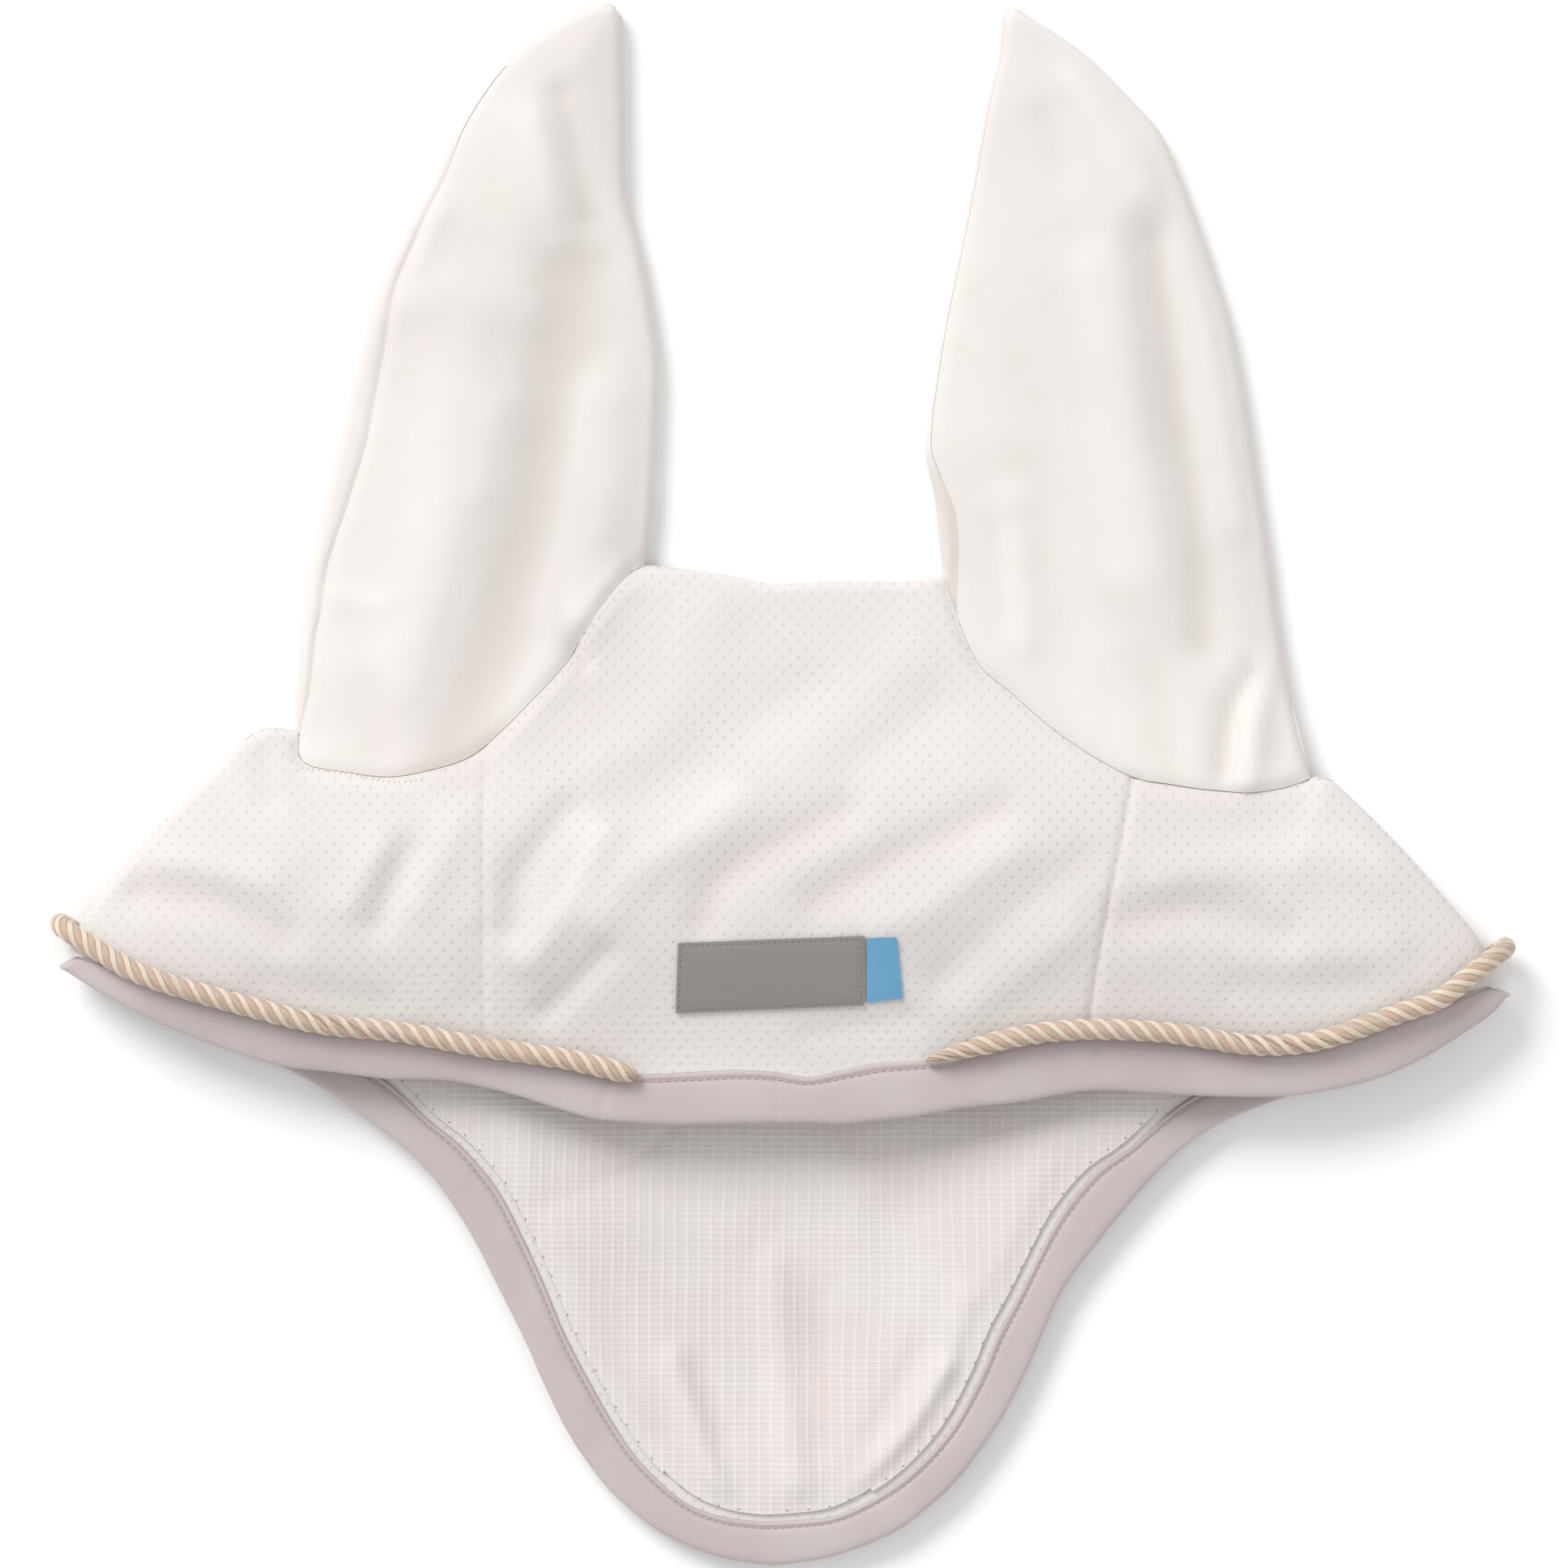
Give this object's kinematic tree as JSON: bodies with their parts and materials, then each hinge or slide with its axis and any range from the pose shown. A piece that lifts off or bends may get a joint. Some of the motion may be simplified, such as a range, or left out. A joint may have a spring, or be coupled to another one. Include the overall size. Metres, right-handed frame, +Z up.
{
  "type": "horse ear bonnet",
  "caption": "Horse fly bonnet lying flat: sewn mesh hood with two ear sleeves, a lined forehead flap, taupe binding and a twisted trim cord; bare label.",
  "frame": {"origin": "middle of the plan box, on the surface that the bonnet lies on, poll face up", "axes": "+Z up from that surface, +Y towards the ear tips, +X to the right seen from above with the ears away from the viewer"},
  "size_m": [0.4692, 0.4992, 0.0292],
  "materials": {
    "knit_mesh": "perforated warm-white knit mesh",
    "waffle_lining": "ribbed waffle-weave lining",
    "ear_fabric": "fine smooth stretch jersey",
    "binding": "soft taupe folded tape",
    "trim_cord": "satin twisted cord",
    "label": "grey woven label",
    "label_tab": "plain blue woven tab"
  },
  "bodies": {
    "hood": {"center_panel": "knit_mesh", "side_panel_left": "knit_mesh", "side_panel_right": "knit_mesh", "forehead_lining": "waffle_lining", "left_ear_back_base": "ear_fabric", "left_ear_front_base": "ear_fabric", "right_ear_back_base": "ear_fabric", "right_ear_front_base": "ear_fabric", "poll_binding_left": "binding", "poll_binding_right": "binding", "forehead_binding_left": "binding", "forehead_binding_right": "binding", "trim_cord_left": "trim_cord", "trim_cord_right": "trim_cord", "label": "label", "label_tab": "label_tab"},
    "left_ear": {"left_ear_back": "ear_fabric", "left_ear_front": "ear_fabric"},
    "right_ear": {"right_ear_back": "ear_fabric", "right_ear_front": "ear_fabric"},
    "forehead_flap": {"flap_panel": "knit_mesh", "flap_lining": "waffle_lining", "flap_binding": "binding", "trim_cord_flap": "trim_cord"}
  },
  "joints": [
    {"name": "left_ear_fold", "type": "hinge", "parent": "hood", "child": "left_ear", "pos_m": [-0.10827, 0.0547, 0.01523], "axis": [0.8632, 0.5049, 0], "range_deg": [0, 90]},
    {"name": "right_ear_fold", "type": "hinge", "parent": "hood", "child": "right_ear", "pos_m": [0.11954, 0.05252, 0.01523], "axis": [0.8752, -0.4837, 0], "range_deg": [0, 90]},
    {"name": "forehead_flap_fold", "type": "hinge", "parent": "hood", "child": "forehead_flap", "pos_m": [0.00042, -0.11503, 0.01063], "axis": [-1, 0, 0], "range_deg": [0, 90]}
  ]
}
